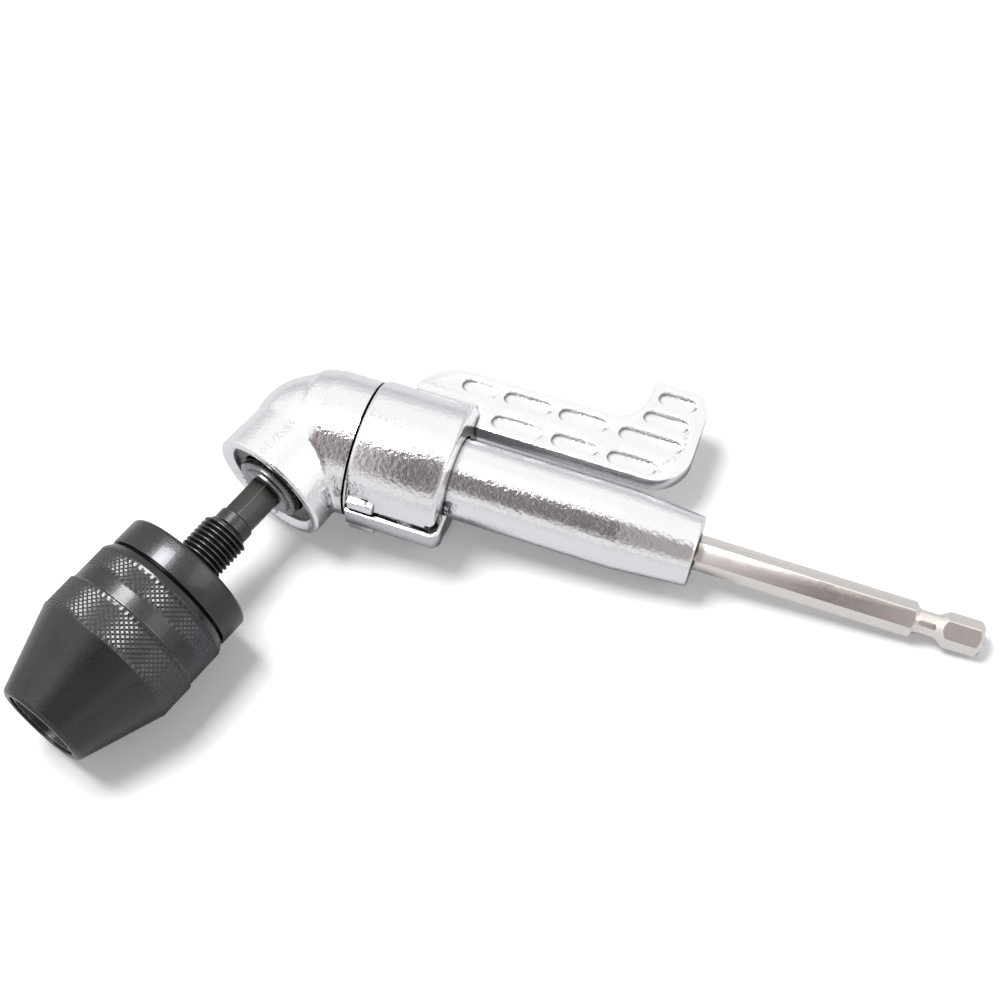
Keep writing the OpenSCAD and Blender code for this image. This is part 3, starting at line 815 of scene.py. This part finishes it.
@dataclass
class Shank(Part):
    """The nickel plated hexagon shank with its ball groove.

    Attributes:
        roll: Turn of the flats.
        length: Station where the hexagon ends inside the barrel.
        wide: Radius that clears the hexagon's corners.
    """

    body: str = "input"
    roll: float = 35.4
    length: float = 59.7
    wide: float = 4.68

    def build(self) -> None:
        """Limit a hexagon bar by a turned form, and add the inner journal."""
        form = ([(2.73, 0.0), (self.wide, 2.07), (self.wide, 5.5)]
                + arc(3.9, 9.6, 1.5, 214, 180, 4) + arc(3.9, 12.3, 1.5, 180, 146, 4)
                + [(self.wide, 14.83), (self.wide, self.length + 1)])
        bar = Bench.hexagon("shank", -2.0, self.length, self.roll, form, 96)
        journal = Bench.turned("journal", [(3.15, self.length - 0.1), (3.15, 68.15), (2.6, 68.15),
                                           (2.6, 69.05), (3.15, 69.05), (3.15, 133.7)], 64, False)
        Bench.act(bar, journal, Cut.JOIN)
        self.dress(Line.BARREL.lay(bar), NICKEL, "input_shaft", angle=25)


@dataclass
class Head(Part):
    """The cast elbow: neck, knuckle and mouth.

    Attributes:
        seam: Station of the seam to the grip.
        neck: Radius of the neck's straight part and of its end at the elbow.
        neck_end: Station of the neck's hidden end inside the elbow.
        knuckle: Radius of the elbow.
        inward: How far the elbow's own line lies toward the inside of the bend.
        share: How far round the bend the elbow's own line points.
        mouth: Radius of the mouth at the elbow and near its rim.
        rim: Station of the mouth's rim on the output line.
    """

    seam: float = 128.1
    neck: Pair = (14.1, 13.3)
    neck_end: float = APEX + 6.5
    knuckle: float = 13.15
    inward: float = 0.9
    share: float = 0.47
    mouth: Pair = (12.4, 12.9)
    rim: float = 15.8

    def build(self) -> None:
        """Melt the three outer shapes together and cut the seam, the rim and the bores."""
        start = self.seam - 3
        body = Line.BARREL.turned("head", [
            (8.0, start), (self.neck[0], start), (self.neck[0], self.seam + 8.2),
            (self.neck[1], APEX + 2.2), (9.9, self.neck_end), (8.0, self.neck_end)])
        plug = Line.BARREL.turned("plug", [(8.1, start), (8.1, self.neck_end)], 64, False)
        Bench.act(body, plug, Cut.JOIN)
        Bench.act(body, self._elbow(), Cut.JOIN)
        flare = (self.mouth[1] - self.mouth[0]) / (self.rim - 0.2)
        far = self.mouth[0] + flare * (self.rim + 3.8)
        mouth = [(self.mouth[0], -0.8), (far, self.rim + 3)]
        Bench.act(body, Line.OUTPUT.turned("mouth", mouth, 128, False), Cut.JOIN)
        Bench.cast(body, 0.3, 4)
        self._cuts(body)
        self.dress(body, CHROME, "head_housing", angle=40)

    def _elbow(self) -> Piece:
        """Turn the elbow's round middle and lay it about halfway round the bend.

        Returns:
            The round-ended bar.
        """
        turn = self.share * OUT_TURN
        middle = self.inward / math.tan(math.radians(OUT_TURN - turn))
        dome = arc(0, middle, self.knuckle, 0, 86, 18)
        piece = Bench.turned("elbow", [(self.knuckle, -5.4)] + dome, 128, False)
        piece.matrix_world = (Matrix.Translation((APEX * MM, 0, 0))
                              @ Matrix.Rotation(math.radians(turn), 4, "Z")
                              @ Matrix.Translation((0, self.inward * MM, 0))
                              @ Matrix.Rotation(math.radians(90), 4, "Y"))
        Bench.fix(piece)
        return piece

    def _cuts(self, body: Piece) -> None:
        """Cut the seam face, the rim and the bores, and add the spigot.

        Args:
            body: The soft outer shape.
        """
        Bench.act(body, Bench.block("past_seam", (110, -30, -30), (self.seam, 30, 30)), Cut.REMOVE)
        far, rim = self.mouth[1], self.rim
        past_rim = [(far - 0.6, rim), (far - 0.25, rim - 0.15), (far - 0.05, rim - 0.5),
                    (far + 0.3, rim - 1.1), (30, rim - 1.2), (30, rim + 20)]
        Bench.act(body, Line.OUTPUT.turned("past_rim", past_rim, 96, False), Cut.REMOVE)
        spigot = [(10.4, 111.5), (10.4, self.seam + 0.5)]
        Bench.act(body, Line.BARREL.turned("spigot", spigot, 96, False), Cut.JOIN)
        Bench.clear()
        bpy.ops.mesh.primitive_uv_sphere_add(
            segments=64, ring_count=32, radius=10.1 * MM, location=(APEX * MM, 0, 0))
        Bench.act(body, bpy.context.object, Cut.REMOVE)
        bore = [(8.35, 111), (8.35, 124), (8.8, 124), (8.8, APEX)]
        Bench.act(body, Line.BARREL.turned("bore", bore, 96, False), Cut.REMOVE)
        seat = [(9.3, 0), (9.3, 9.2), (10.2, 9.2), (10.2, 13.2), (10.9, 13.2), (10.9, 14.2),
                (10.2, 14.2), (10.2, 14.9), (11.45, rim), (11.75, rim + 0.2)]
        Bench.act(body, Line.OUTPUT.turned("seat", seat, 96, False), Cut.REMOVE)


@dataclass
class Grip(Part):
    """The thumb grip: collar, fin with its long recesses, and the lever's channel.

    Attributes:
        start: Station of the collar's end toward the shank.
        end: Station of the collar's end at the seam.
        radius: Radius of the collar.
        edge: Radius of the collar's rounded edges.
        fin: Half the thickness of the fin.
    """

    body: str = "grip"
    start: float = 108.4
    end: float = 127.8
    radius: float = 14.7
    edge: float = 1.1
    fin: float = 2.15

    def build(self) -> None:
        """Turn the collar, join the fin and cut recesses, bores and channel."""
        mid = self.radius - self.edge
        body = Line.BARREL.turned("thumb_grip_cast", (
            [(7.0, self.start)] + arc(mid, self.start + self.edge, self.edge, -90, 0, 5)
            + arc(mid, self.end - self.edge, self.edge, 0, 90, 5) + [(7.0, self.end)]), 160)
        plug = [(7.2, self.start), (7.2, self.end)]
        Bench.act(body, Line.BARREL.turned("plug", plug, 64, False), Cut.JOIN)
        fin = Bench.outlined("fin", self.outline(), -self.fin, self.fin)
        self._recesses(fin)
        Bench.ease(fin, 0.22, 2, 40)
        Bench.act(body, fin, Cut.JOIN)
        self._blends(body)
        lug = Bench.block("lug", (121.0, 12.0, -5.7), (126.4, 15.05, 5.7))
        Bench.ease(lug, 0.4, 3)
        Bench.act(body, lug, Cut.JOIN)
        bore = [(8.74, 105), (8.74, 111.2), (10.45, 111.2), (10.45, 130)]
        Bench.act(body, Line.BARREL.turned("bore", bore, 128, False), Cut.REMOVE)
        for name, low, high in (("channel", (105, 12.0, -3.4), (127.0, 20, 3.4)),
                                ("notch", (105, 9.55, -4.2), (110.2, 20, 4.2)),
                                ("window", (124.5, 5, -1.9), (126.8, 13, 1.9))):
            Bench.act(body, Bench.block(name, low, high), Cut.REMOVE)
        Bench.act(body, Bench.drum("pin_hole", 0.84, 6, LEVER_PIN), Cut.REMOVE)
        self.dress(body, GRIP_CHROME, "thumb_grip", angle=32)

    @staticmethod
    def outline() -> Profile:
        """List the corners of the fin's outline in its own plane.

        Returns:
            The corners, in order round the fin.
        """
        return ([(118.0, -11.0)] + arc(72.5, -19.0, 8.0, 90, 180, 12)
                + arc(68.5, -29.3, 4.0, 180, 270, 8) + arc(75.8, -32.3, 1.0, 270, 360, 4)
                + arc(83.4, -29.6, 6.6, 180, 90, 12) + arc(112.8, -11.75, 11.25, 270, 350, 16))

    @staticmethod
    def slots() -> Rows:
        """List the fin's long recesses.

        Returns:
            Each recess's distance from the barrel's line and its two ends.
        """
        return [(13.8, 70.5, 81.1), (13.8, 83.0, 93.0), (13.8, 94.7, 105.8),
                (19.8, 67.1, 80.5), (19.8, 82.8, 93.3), (19.8, 94.7, 105.1), (19.8, 106.4, 114.2),
                (24.9, 67.1, 76.8), (30.0, 66.9, 75.1)]

    def _recesses(self, fin: Piece) -> None:
        """Cut the long recesses into both faces.

        Args:
            fin: The flat fin.
        """
        depth, r = 1.2, 1.6
        for side in (1, -1):
            heights = sorted((side * (self.fin - depth), side * (self.fin + 1)))
            for y, low, high in self.slots():
                outline = arc(high - r, -y, r, -90, 90, 10) + arc(low + r, -y, r, 90, 270, 10)
                Bench.act(fin, Bench.outlined("slot", outline, *heights), Cut.REMOVE)

    def _blends(self, body: Piece) -> None:
        """Fill the corners between the fin's faces and the collar.

        Args:
            body: The joined collar and fin.
        """
        r, low = 2.5, -12.0
        z = self.fin + r
        y = math.sqrt((self.radius + r) ** 2 - z * z)
        for side in (1, -1):
            outline = [(side * 0.1, low), (side * 0.1, -y), (side * self.fin, -y)]
            for t in range(-90, 1, 9):
                turn = math.radians(t)
                outline.append((side * (z + r * math.sin(turn)), -y + r * math.cos(turn)))
            outline.append((side * z, low))
            piece = Bench.outlined("blend", outline, self.start + 1.1, self.start + 14.0)
            piece.matrix_world = Matrix(((0, 0, 1, 0), (0, 1, 0, 0), (1, 0, 0, 0), (0, 0, 0, 1)))
            Bench.fix(piece)
            Bench.clean(piece)
            Bench.act(body, piece, Cut.JOIN)


@dataclass
class Lever(Part):
    """The lock lever under the collar, bent from strip."""

    body: str = "lever"

    def build(self) -> None:
        """Draw the bent strip's side view and raise it to the lever's width."""
        outline = [(126.7, 15.5), (126.7, 14.6), (124.5, 14.6), (124.5, 12.9)]
        outline += arc(*LEVER_PIN, 1.5, -32, -148, 8)
        outline += [(121.5, 12.9), (121.5, 14.6)]
        outline += arc(109.0, 13.5, 1.1, 90, 180, 8)
        outline += [(107.9, 10.0), (107.0, 10.0)]
        outline += arc(109.0, 13.5, 2.0, 180, 90, 10)
        strip = Bench.outlined("lock_lever", outline, -2.64, 2.64)
        Bench.ease(strip, 0.15)
        pad = Bench.block("pad", (124.9, 10.6, -1.5), (126.4, 14.5, 1.5))
        Bench.act(strip, pad, Cut.JOIN)
        Bench.act(strip, Bench.drum("hole", 0.85, 4, LEVER_PIN), Cut.REMOVE)
        self.dress(strip, STRIP, "release_lever")


@dataclass
class Arbor(Part):
    """The black arbor: hexagon, step and thread.

    Attributes:
        roll: Turn of the hexagon.
        thread: Outer radius of the thread.
        pitch: Pitch of the thread.
        start: Station where the thread starts.
        end: Station where the thread ends inside the chuck.
    """

    body: str = "arbor"
    roll: float = 21.4
    thread: float = 5.0
    pitch: float = 1.06
    start: float = 28.35
    end: float = 45.8

    def build(self) -> None:
        """Join the hexagon, the step and a wound thread."""
        form = [(2.73, 8.4), (4.67, 10.46), (4.67, 28.0)]
        bar = Bench.hexagon("arbor", 6.4, 27.0, self.roll, form, 64)
        step = [(3.6, 24.9), (3.9, 25.2), (3.9, 27.5), (4.3, 28.2), (4.3, self.end)]
        Bench.act(bar, Bench.turned("step", step, 64, False), Cut.JOIN)
        self.dress(Line.OUTPUT.lay(bar), BLACK, "chuck_arbor", angle=25)
        self._thread()

    def _thread(self) -> None:
        """Wind a ridge of the thread's section up the arbor."""
        crest, root, p = self.thread, self.thread - 0.62, self.pitch
        section = [(root - 0.25, -p * 0.47), (root, -p * 0.47), (crest, -p * 0.08),
                   (crest, p * 0.08), (root, p * 0.47), (root - 0.25, p * 0.47)]
        ridge = Bench.loop("arbor_thread", [(r, 0.0, z + self.start) for r, z in section])
        Bench.close()
        Bench.apply(ridge, "SCREW", screw_offset=p * MM, steps=40, render_steps=40,
                    iterations=int((self.end - 0.6 - self.start) / p), use_merge_vertices=False)
        Bench.open(ridge)
        bpy.ops.mesh.fill_holes(sides=0)
        Bench.close()
        Bench.clean(ridge)
        self.dress(Line.OUTPUT.lay(ridge), BLACK, angle=25)


@dataclass
class RearRing(Part):
    """The smooth ring at the back of the chuck."""

    body: str = "arbor"

    def build(self) -> None:
        """Turn the ring with its rounded back edge."""
        profile = ([(11.0, 39.0)] + arc(13.75, 39.8, 0.8, -90, 0, 6)
                   + arc(14.3, 45.05, 0.25, 0, 90, 3) + [(11.0, 45.3)])
        self.dress(Line.OUTPUT.turned("rear_ring", profile, 160), BLACK, "chuck_rear_ring")


@dataclass
class Sleeve(Part):
    """The front sleeve with its two knurled bands and its cone.

    Attributes:
        studs: How many knurled studs go round each band.
        depth: Depth of the knurling.
        step: Distance between the knurling's rows.
    """

    body: str = "sleeve"
    studs: int = 76
    depth: float = 0.21
    step: float = 0.6

    def band(self, radius: float, low: float, count: int) -> Rows:
        """List the circles of one knurled band.

        Args:
            radius: The band's outer radius.
            low: Station of its first circle.
            count: How many circles it has.

        Returns:
            Radius of the even points, radius of the odd points and station of each circle.
        """
        rows = []
        for i in range(count):
            edge = i in (0, count - 1)
            low_even = self.depth if i % 2 and not edge else 0.0
            low_odd = 0.0 if i % 2 or edge else self.depth
            rows.append((radius - low_even, radius - low_odd, low + i * self.step))
        return rows

    def rows(self) -> Rows:
        """List all circles of the sleeve, as a band lists its own.

        Returns:
            Two radii and the station of each circle.
        """
        back = [(13.6, 45.9), (14.3, 45.9), (14.5, 46.05), (15.3, 47.3), (15.4, 47.55)]
        middle = [(15.4, 52.8), (15.4, 54.4), (15.42, 55.75), (15.72, 55.98)]
        front = [(15.8, 63.5), (15.6, 63.9), (9.93, 80.15), (9.62, 80.5), (9.15, 80.8), (8.3, 80.8),
                 (8.1, 80.6), (8.1, 79.6), (13.6, 65.1)]
        plain = [[(r, r, z) for r, z in stretch] for stretch in (back, middle, front)]
        return (plain[0] + self.band(15.4, 47.75, 9) + plain[1] + self.band(15.84, 56.15, 13)
                + plain[2])

    def build(self) -> None:
        """Draw a circle out along the sleeve, scaling every second point by itself."""
        rows = self.rows()
        last = rows[0]
        piece = Bench.circle("sleeve", 2 * self.studs, last[0], last[2])
        for row in rows[1:]:
            Bench.pull(row[2] - last[2])
            self._widen(piece, (row[0] / last[0], row[1] / last[1]), row[2])
            last = row
        bpy.ops.mesh.select_all(action="DESELECT")
        bpy.ops.mesh.select_non_manifold()
        bpy.ops.mesh.bridge_edge_loops()
        Bench.close()
        self._point(piece, rows)
        Bench.clean(piece)
        self.dress(Line.OUTPUT.lay(piece), BLACK, "chuck_sleeve", angle=18)

    @staticmethod
    def _widen(piece: Piece, shares: Pair, station: float) -> None:
        """Scale the newest circle about the sleeve's line.

        Args:
            piece: The sleeve so far, in edit mode with its newest circle selected.
            shares: How much the even and the odd points move out.
            station: The circle's station.
        """
        if abs(shares[0] - shares[1]) < 0.00001:
            Bench.widen(shares[0], station)
            return
        Bench.close()
        mesh = piece.data
        newest = sorted(v.index for v in mesh.vertices if v.select)
        for half, share in enumerate((*shares, 1.0)):
            Bench.unselect(mesh)
            for place, index in enumerate(newest):
                mesh.vertices[index].select = half == 2 or place % 2 == half
            bpy.ops.object.mode_set(mode="EDIT")
            if half < 2:
                Bench.widen(share, station)
                Bench.close()

    def _point(self, piece: Piece, rows: Rows) -> None:
        """Give each small face of the knurled bands a middle point.

        Args:
            piece: The closed sleeve, upright.
            rows: Its circles.
        """
        bands = [z for even, odd, z in rows if abs(even - odd) > 0.01]
        mesh = piece.data
        Bench.unselect(mesh)
        for face in mesh.polygons:
            outside = math.hypot(face.center.x, face.center.y) > 14.5 * MM
            near = min(abs(face.center.z / MM - z) for z in bands) < 0.6 * self.step
            face.select = outside and near
        Bench.take(piece)
        bpy.context.tool_settings.mesh_select_mode = (False, False, True)
        bpy.ops.object.mode_set(mode="EDIT")
        bpy.ops.mesh.poke()
        bpy.ops.mesh.select_mode(type="VERT")
        Bench.close()


@dataclass
class InnerWorks(Part):
    """Pieces that show in the mouth and the nose, kept as packed but with smooth faces.

    Attributes:
        shown: Node, body and edge rounding of each piece that gets smooth faces.
    """

    shown: dict[str, tuple[str, float]] = field(default_factory=lambda: {
        "output_bearing_outer": ("head", 0.12), "output_bearing_balls": ("head", 0.0),
        "output_bearing_seal": ("head", 0.08), "mouth_snap_ring": ("head", 0.12),
        "output_bearing_inner": ("spindle", 0.12), "output_spindle": ("spindle", 0.15),
        "chuck_body": ("arbor", 0.15), "chuck_jaw_1": ("jaw_1", 0.15),
        "chuck_jaw_2": ("jaw_2", 0.15), "chuck_jaw_3": ("jaw_3", 0.15),
        "lever_pin": ("grip", 0.12)})

    def build(self, frame: dict) -> None:
        """Copy and ease each shown node, and dress the rest as they are.
        """
        slots = {s["node"]: s["material_slot"] for s in frame["record"]["subparts"]}
        for node, (body, width) in self.shown.items():
            copy = frame["nodes"][node].copy()
            copy.data = copy.data.copy()
            for key in [k for k in copy.keys() if k.startswith("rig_")]:
                del copy[key]
            bpy.context.scene.collection.objects.link(copy)
            copy.parent = None
            copy.matrix_world = Matrix.Identity(4)
            Bench.name(copy, f"{node}_smooth")
            Bench.open(copy)
            bpy.ops.mesh.remove_doubles(threshold=WELD)
            bpy.ops.mesh.tris_convert_to_quads()
            Bench.close()
            if width > 0:
                Bench.ease(copy, width, 2, 40)
            self.body = body
            self.dress(copy, FINISHES[slots[node]], node, angle=35)
        for node, piece in frame["nodes"].items():
            if node not in self.shown:
                piece.data.materials.clear()
                piece.data.materials.append(FINISHES[slots[node]].material())


@dataclass
class Studio:
    """The camera, the table and the light.

    Attributes:
        eye: The camera's place.
        right: The picture's rightward direction.
        up: The picture's upward direction.
        back: The direction from the object to the camera.
        lens: Focal length.
        sensor: Width of the sensor.
        table_size: Side of the table, in metres.
        glow: How much light the table adds to itself for the camera.
    """

    eye: Triple = (43.7, 167.9, 362.0)
    right: Triple = (-0.9457, -0.325, 0.0058)
    up: Triple = (0.2951, -0.8509, 0.4347)
    back: Triple = (-0.1364, 0.4128, 0.9005)
    lens: float = 72.0
    sensor: float = 36.0
    table_size: float = 6.0
    glow: float = 0.16

    def build(self) -> None:
        """Set up camera, table, sky and lamps."""
        self._camera()
        self._table()
        self._sky()
        self._lamps()
        bpy.context.scene.view_settings.view_transform = "Standard"

    def _camera(self) -> None:
        """Place the camera where the photographer's stood."""
        data = bpy.data.cameras.new("portrait")
        data.lens = self.lens
        data.sensor_width = self.sensor
        data.sensor_fit = "HORIZONTAL"
        data.clip_start = 0.01
        data.clip_end = 20.0
        camera = bpy.data.objects.new("portrait", data)
        bpy.context.scene.collection.objects.link(camera)
        rows = [(self.right[i], self.up[i], self.back[i], self.eye[i] * MM) for i in range(3)]
        camera.matrix_world = Matrix((*rows, (0, 0, 0, 1)))
        bpy.context.scene.camera = camera

    @staticmethod
    def table_plane() -> tuple[Vector, Vector]:
        """Work out the table top from the three points that the tool rests on.

        Returns:
            A point of the table, in metres, and its upward normal.
        """
        a, b, c = (Vector(p) * MM for p in
                   ((158.5, 56.4, -15.9), (109.5, 0.0, -14.75), (3.0, 0.0, -3.55)))
        normal = (b - a).cross(c - a).normalized()
        if normal.z < 0:
            normal.negate()
        return a, normal

    def _table(self) -> None:
        """Lay the pale table, white to the camera but still taking shadows."""
        point, normal = self.table_plane()
        Bench.clear()
        bpy.ops.mesh.primitive_plane_add(size=self.table_size, location=(0, 0, 0))
        table = Bench.name(bpy.context.object, "table")
        turn = normal.to_track_quat("Z", "Y").to_matrix().to_4x4()
        table.matrix_world = Matrix.Translation(point - normal * 0.0001) @ turn
        Bench.fix(table)
        material = bpy.data.materials.new("table_top")
        graph = Graph.emptied(material)
        path = graph.add("LightPath").outputs
        colour = graph.mix(path["Is Glossy Ray"], (0.80, 0.80, 0.82), (0.50, 0.51, 0.52))
        matt = graph.add("BsdfDiffuse", {"Color": colour})
        seen = graph.math("MULTIPLY", path["Is Camera Ray"], self.glow)
        glow = graph.add("Emission", {"Strength": seen})
        total = graph.add("AddShader", {0: glow.outputs["Emission"], 1: matt.outputs["BSDF"]})
        graph.add("OutputMaterial", {"Surface": total.outputs["Shader"]})
        table.data.materials.append(material)

    @staticmethod
    def _sky() -> None:
        """Surround the table: white overhead, grey at the back, a taupe room on the near side."""
        world = bpy.data.worlds.new("room")
        bpy.context.scene.world = world
        graph = Graph.emptied(world)
        add, times = "MULTIPLY_ADD", "MULTIPLY"
        place = graph.add("TexCoord").outputs["Generated"]
        axes = graph.add("SeparateXYZ", {"Vector": place}).outputs
        mottle = graph.noise(place, 22.0, 6.0)
        side = graph.math(add, graph.math("MAXIMUM", axes["X"], 0.09), 2.65, axes["Y"])
        near = graph.ramp(graph.math(add, mottle, 0.16, side), 0.42, 0.52)
        high = graph.ramp(graph.math(add, mottle, 0.10, axes["Z"]), 0.34, 0.62)
        room = graph.math(times, near, high)
        room = graph.math(times, room, graph.ramp(axes["X"], 0.46, 0.33))
        away = graph.math("ABSOLUTE", graph.math("SUBTRACT", axes["X"], 0.1))
        light = graph.ramp(graph.math(add, mottle, 0.16, away), 0.07, 0.25)
        taupe = graph.mix(light, (0.085, 0.068, 0.066), (0.42, 0.385, 0.40))
        front = graph.ramp(axes["Y"], 0.1, 0.6)
        behind = graph.math(times, graph.ramp(axes["Z"], 0.45, 0.05),
                            graph.ramp(axes["Y"], -0.3, -0.8))
        tone = graph.mix(front, (1.0, 1.0, 1.0), (0.80, 0.80, 0.81))
        tone = graph.mix(behind, tone, (0.66, 0.67, 0.69))
        tone = graph.mix(room, tone, taupe)
        path = graph.add("LightPath").outputs
        seen = graph.math("MAXIMUM", path["Is Camera Ray"], path["Is Glossy Ray"])
        sky = graph.add(
            "Background", {"Strength": graph.math(add, seen, 0.5, 0.5), "Color": tone})
        graph.add("OutputWorld", {"Surface": sky.outputs["Background"]})

    def _lamps(self) -> None:
        """Hang one large soft lamp to the upper left and a weak one on the right."""
        centre = Vector((85.0, 20.0, 0.0)) * MM
        right, up, back = Vector(self.right), Vector(self.up), Vector(self.back)
        self._lamp("key", centre + (-right * 0.35 + up * 0.6 + back * 0.7), centre, 0.42, 11.0)
        self._lamp("fill", centre + (right * 0.7 + up * 0.2 + back * 0.8), centre, 0.6, 1.5)

    @staticmethod
    def _lamp(name: str, place: Vector, aim: Vector, size: float, power: float) -> None:
        """Hang a square soft lamp.

        Args:
            name: The lamp's name.
            place: Where it hangs, in metres.
            aim: The point that it faces.
            size: Its side, in metres.
            power: Its power, in watts.
        """
        data = bpy.data.lights.new(name, "AREA")
        data.energy = power
        data.size = size
        lamp = bpy.data.objects.new(name, data)
        bpy.context.scene.collection.objects.link(lamp)
        turn = (aim - place).to_track_quat("-Z", "Y").to_matrix().to_4x4()
        lamp.matrix_world = Matrix.Translation(place) @ turn


def main() -> None:
    """Build every piece in order, then the studio."""
    logging.basicConfig(level=logging.INFO, format="%(message)s")
    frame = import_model()
    for part in (Barrel(), Shank(), Head(), Grip(), Lever(), Arbor(), RearRing(), Sleeve()):
        part.build()
        LOG.info("%s done", type(part).__name__)
    InnerWorks().build(frame)
    Studio().build()


if __name__ == "__main__":
    main()
